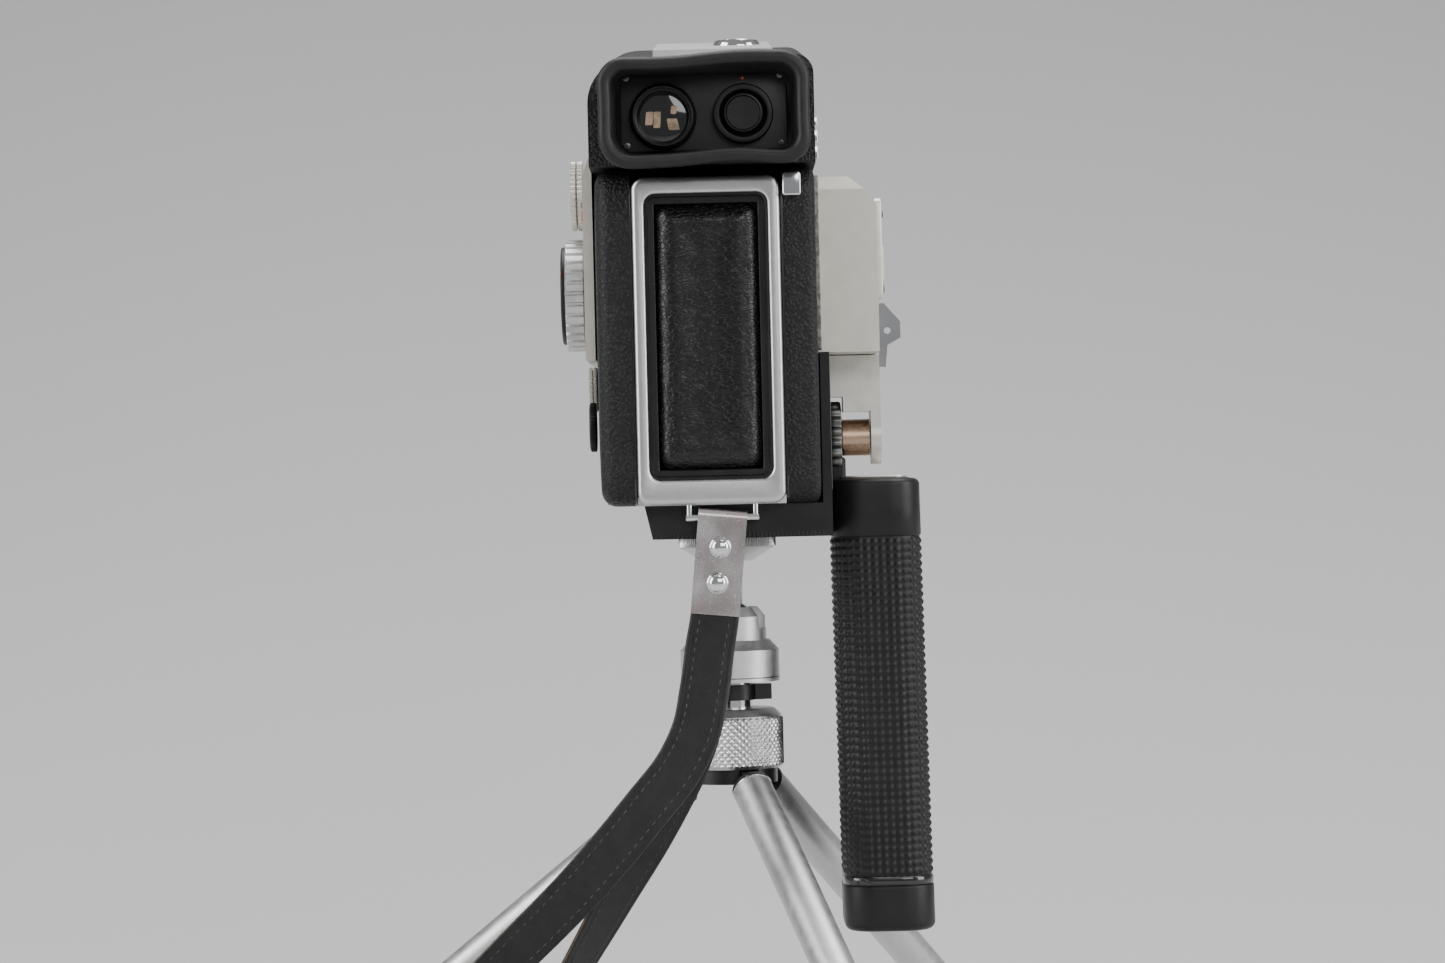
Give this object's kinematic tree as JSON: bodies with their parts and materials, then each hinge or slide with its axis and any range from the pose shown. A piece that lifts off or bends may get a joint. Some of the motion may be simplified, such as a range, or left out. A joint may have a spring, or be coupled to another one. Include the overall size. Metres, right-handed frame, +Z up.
{
  "type": "film camera on tripod",
  "caption": "Hand-held film camera with folding side grip, rubber eyecup and leather hand strap, standing on a folding three-leg pocket tripod with a ball head.",
  "frame": {"origin": "on the floor, under the middle of the whole object's bounding box", "axes": "+Z up, +Y the way the lens looks, +X the camera's right-hand side for a user behind it"},
  "size_m": [0.2409, 0.2559, 0.3203],
  "materials": {
    "satin_aluminium": "satin",
    "polished_chrome": "polished",
    "black_metal": "satin black",
    "grained_leather": "pebbled, matt",
    "glossy_leather": "wrinkled, glossy",
    "strap_leather": "smooth, worn",
    "black_rubber": "matt",
    "warm_white_paint": "satin",
    "warm_silver": "machined",
    "clear_glass": "coated",
    "black_plastic": "textured",
    "copper_bronze": "turned",
    "dark_steel": "gunmetal"
  },
  "bodies": {
    "root": {"tripod_crown": "black_metal", "knurled_collar": "satin_aluminium", "leg_pins": "dark_steel", "head_post": "polished_chrome"},
    "clamp_lever": {"clamp_lever": "black_metal"},
    "head": {"ball_housing": "satin_aluminium"},
    "clamp_ring": {"clamp_ring": "satin_aluminium"},
    "camera": {"ball_stem": "polished_chrome", "platform_disc": "satin_aluminium", "cradle": "black_plastic", "left_cover": "grained_leather", "right_cover": "grained_leather", "front_plate": "satin_aluminium", "finder_housing": "grained_leather", "top_plate": "satin_aluminium", "eyecup": "black_rubber", "eyepiece_plate": "black_metal", "meter_eyepiece": "black_plastic", "dial_plate": "warm_white_paint", "side_housing": "warm_white_paint", "grip_bracket": "warm_silver", "strap_bail": "polished_chrome", "lens_barrel": "black_metal", "front_lens": "clear_glass", "mechanism_plate": "dark_steel"},
    "rear_door": {"rear_door_frame": "satin_aluminium", "rear_door_pad": "glossy_leather"},
    "door_latch": {"door_latch": "polished_chrome"},
    "release_button": {"release_button": "polished_chrome"},
    "dioptre": {"dioptre_ring": "black_plastic", "eye_lens": "clear_glass"},
    "speed_wheel": {"speed_wheel": "warm_silver"},
    "winding_knob": {"winding_knob": "warm_silver"},
    "counter_wheel": {"counter_wheel": "warm_silver"},
    "battery_cap": {"battery_cap": "black_metal"},
    "side_lug": {"side_lug": "warm_silver"},
    "grip": {"grip_shaft": "copper_bronze", "grip_head": "black_plastic", "grip_sleeve": "black_plastic", "grip_end_cap": "black_plastic"},
    "thumbwheel": {"thumbwheel": "dark_steel"},
    "strap": {"strap_clip": "polished_chrome", "strap": "strap_leather"},
    "focus_ring": {"focus_ring": "black_metal"},
    "supply_spool": {"supply_spool": "dark_steel"},
    "take_up_spool": {"take_up_spool": "dark_steel"},
    "spring_barrel": {"spring_barrel": "dark_steel"},
    "shutter": {"shutter_disc": "dark_steel"},
    "leg_1": {"leg_1_knuckle": "black_metal", "leg_1_outer_tube": "satin_aluminium"},
    "leg_1_lower": {"leg_1_inner_tube": "satin_aluminium", "leg_1_foot": "black_rubber"},
    "leg_2": {"leg_2_knuckle": "black_metal", "leg_2_outer_tube": "satin_aluminium"},
    "leg_2_lower": {"leg_2_inner_tube": "satin_aluminium", "leg_2_foot": "black_rubber"},
    "leg_3": {"leg_3_knuckle": "black_metal", "leg_3_outer_tube": "satin_aluminium"},
    "leg_3_lower": {"leg_3_inner_tube": "satin_aluminium", "leg_3_foot": "black_rubber"}
  },
  "joints": [
    {"name": "leg_1_spread", "type": "hinge", "parent": "root", "child": "leg_1", "pos_m": [0.03064, 0.01576, 0.11437], "axis": [0.7848, -0.6198, 0], "range_deg": [-51, 0]},
    {"name": "leg_1_extend", "type": "slide", "parent": "leg_1", "child": "leg_1_lower", "axis": [0.483, 0.6116, -0.6266], "range_m": [0, 0.1]},
    {"name": "leg_2_spread", "type": "hinge", "parent": "root", "child": "leg_2", "pos_m": [0.02889, 0.00377, 0.11437], "axis": [-0.9291, -0.3697, 0], "range_deg": [-51, 0]},
    {"name": "leg_2_extend", "type": "slide", "parent": "leg_2", "child": "leg_2_lower", "axis": [0.2882, -0.7241, -0.6266], "range_m": [0, 0.1]},
    {"name": "leg_3_spread", "type": "hinge", "parent": "root", "child": "leg_3", "pos_m": [0.01938, 0.01128, 0.11437], "axis": [0.1444, 0.9895, 0], "range_deg": [-51, 0]},
    {"name": "leg_3_extend", "type": "slide", "parent": "leg_3", "child": "leg_3_lower", "axis": [-0.7712, 0.1125, -0.6266], "range_m": [0, 0.1]},
    {"name": "lock_lever_turn", "type": "hinge", "parent": "root", "child": "clamp_lever", "pos_m": [0.02631, 0.01027, 0.1345], "axis": [0, 0, 1], "range_deg": [-40, 40]},
    {"name": "head_pan", "type": "hinge", "parent": "root", "child": "head", "pos_m": [0.02631, 0.01027, 0.14], "axis": [0, 0, 1], "range_deg": [-34, 2]},
    {"name": "clamp_ring_turn", "type": "hinge", "parent": "head", "child": "clamp_ring", "pos_m": [0.02631, 0.01027, 0.142], "axis": [0, 0, 1], "range_deg": [-60, 60]},
    {"name": "ball_nod", "type": "hinge", "parent": "head", "child": "camera", "pos_m": [0.02631, 0.01027, 0.152], "axis": [1, 0, 0], "range_deg": [-10, 2]},
    {"name": "rear_door_swing", "type": "hinge", "parent": "camera", "child": "rear_door", "pos_m": [0.00301, -0.04473, 0.23], "axis": [0, 0, 1], "range_deg": [-100, 0]},
    {"name": "latch_slide", "type": "slide", "parent": "camera", "child": "door_latch", "axis": [0, 0, -1], "range_m": [0, 0.003]},
    {"name": "release_press", "type": "slide", "parent": "camera", "child": "release_button", "axis": [0, 0, -1], "range_m": [0, 0.001], "stiffness_N_per_m": 500},
    {"name": "dioptre_turn", "type": "hinge", "parent": "camera", "child": "dioptre", "pos_m": [0.01201, -0.05073, 0.289], "axis": [0, 1, 0], "range_deg": [-120, 120]},
    {"name": "speed_turn", "type": "hinge", "parent": "camera", "child": "speed_wheel", "pos_m": [-0.01269, 0.00227, 0.2724], "axis": [1, 0, 0], "range_deg": [-150, 150]},
    {"name": "winding_turn", "type": "hinge", "parent": "camera", "child": "winding_knob", "pos_m": [-0.01269, 0.00227, 0.245], "axis": [1, 0, 0], "continuous": true},
    {"name": "counter_turn", "type": "hinge", "parent": "camera", "child": "counter_wheel", "pos_m": [-0.00969, 0.00227, 0.219], "axis": [1, 0, 0], "continuous": true},
    {"name": "battery_cap_turn", "type": "hinge", "parent": "camera", "child": "battery_cap", "pos_m": [-0.00919, -0.01573, 0.2084], "axis": [1, 0, 0], "range_deg": [0, 90]},
    {"name": "side_lug_fold", "type": "hinge", "parent": "camera", "child": "side_lug", "pos_m": [0.06991, -0.00173, 0.2333], "axis": [0, 0, 1], "range_deg": [0, 85]},
    {"name": "grip_fold", "type": "hinge", "parent": "camera", "child": "grip", "pos_m": [0.06231, 0.01427, 0.2043], "axis": [1, 0, 0], "range_deg": [-90, 0]},
    {"name": "thumbwheel_turn", "type": "hinge", "parent": "camera", "child": "thumbwheel", "pos_m": [0.05691, 0.01427, 0.2043], "axis": [1, 0, 0], "range_deg": [-90, 90]},
    {"name": "strap_swing", "type": "hinge", "parent": "camera", "child": "strap", "pos_m": [0.02521, -0.03853, 0.1834], "axis": [1, 0, 0], "range_deg": [-25, 0]},
    {"name": "focus_turn", "type": "hinge", "parent": "camera", "child": "focus_ring", "pos_m": [0.02231, 0.10027, 0.262], "axis": [0, 1, 0], "range_deg": [-135, 135]},
    {"name": "shutter_turn", "type": "hinge", "parent": "camera", "child": "shutter", "pos_m": [0.02231, 0.05027, 0.25], "axis": [0, 1, 0], "continuous": true},
    {"name": "take_up_turn", "type": "hinge", "parent": "camera", "child": "take_up_spool", "pos_m": [0.02231, -0.01673, 0.2108], "axis": [1, 0, 0], "continuous": true},
    {"name": "supply_turn", "type": "hinge", "parent": "camera", "child": "supply_spool", "pos_m": [0.02231, -0.01673, 0.2535], "axis": [1, 0, 0], "continuous": true},
    {"name": "spring_turn", "type": "hinge", "parent": "camera", "child": "spring_barrel", "pos_m": [0.00831, 0.00227, 0.245], "axis": [1, 0, 0], "continuous": true}
  ],
  "couplings": [
    {"joint": "take_up_turn", "follows": "shutter_turn", "ratio": 0.04},
    {"joint": "supply_turn", "follows": "shutter_turn", "ratio": 0.04},
    {"joint": "spring_turn", "follows": "shutter_turn", "ratio": 0.01}
  ]
}
